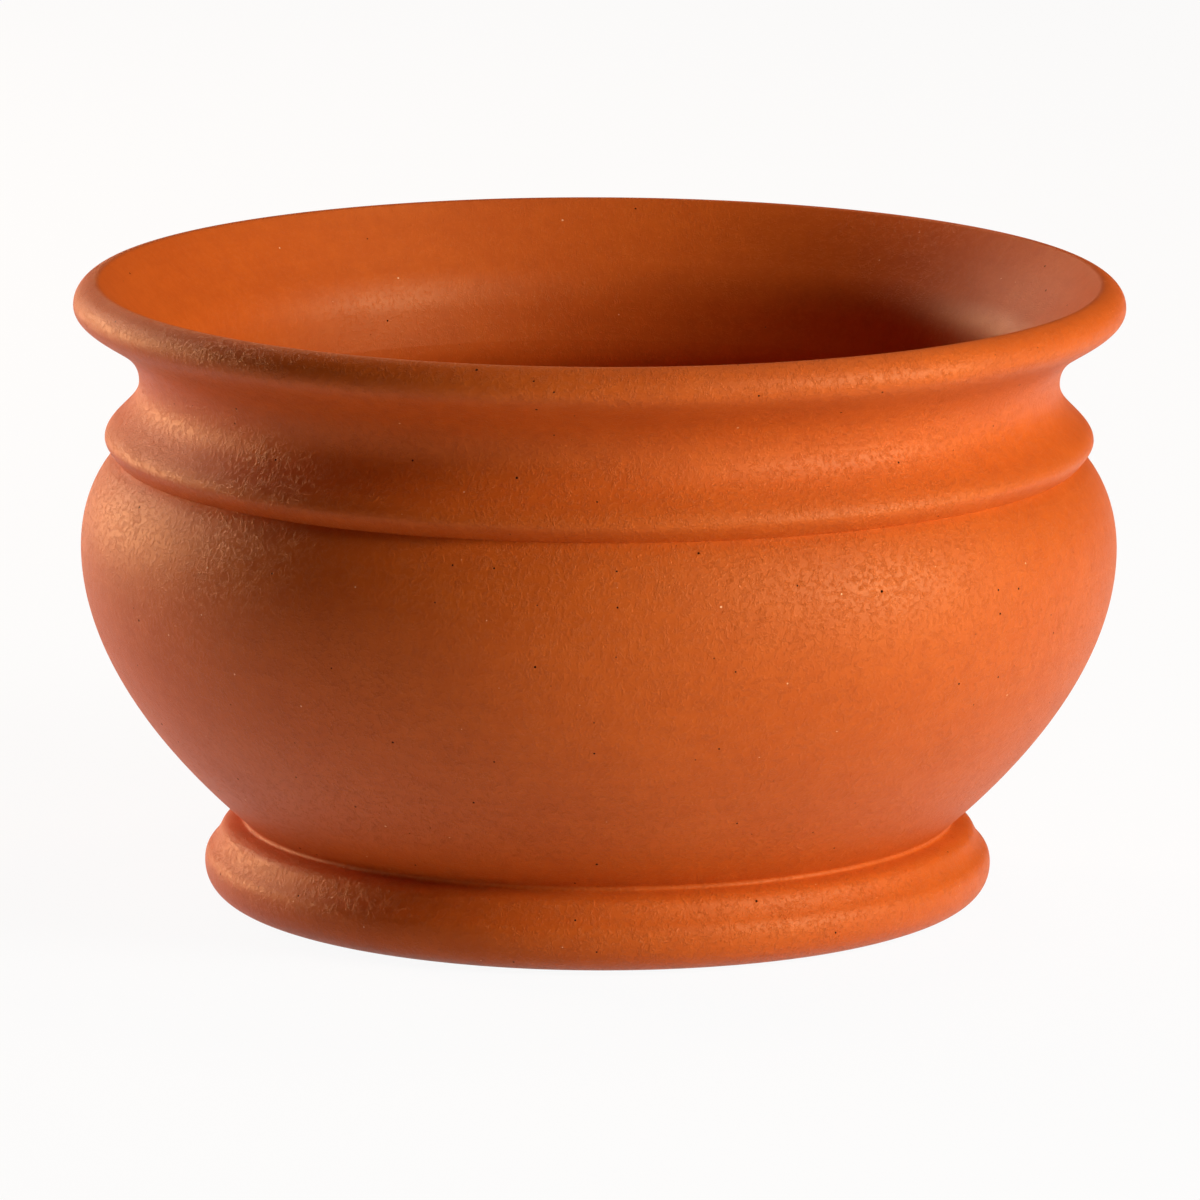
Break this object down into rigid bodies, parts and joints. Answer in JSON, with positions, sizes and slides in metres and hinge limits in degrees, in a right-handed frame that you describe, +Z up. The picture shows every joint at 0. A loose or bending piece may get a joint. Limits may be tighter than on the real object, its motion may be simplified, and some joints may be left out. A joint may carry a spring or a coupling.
{
  "type": "terracotta planter",
  "caption": "Round unglazed clay planter: turned foot ring, swelling bowl with a drain hole in its floor, and a collar with a bead, a drawn-in neck and a flared rolled rim.",
  "frame": {"origin": "on the ground, in the middle of the foot", "axes": "+Z up, along the axis that the planter was turned on; it is round, so +X and +Y have no front or side"},
  "size_m": [0.3, 0.3, 0.1788],
  "materials": {
    "terracotta": "unglazed fired clay, matt with a faint sheen, fine brushed grain and small pits"
  },
  "bodies": {
    "root": {"foot_ring": "terracotta", "bowl": "terracotta", "collar": "terracotta"}
  },
  "joints": []
}
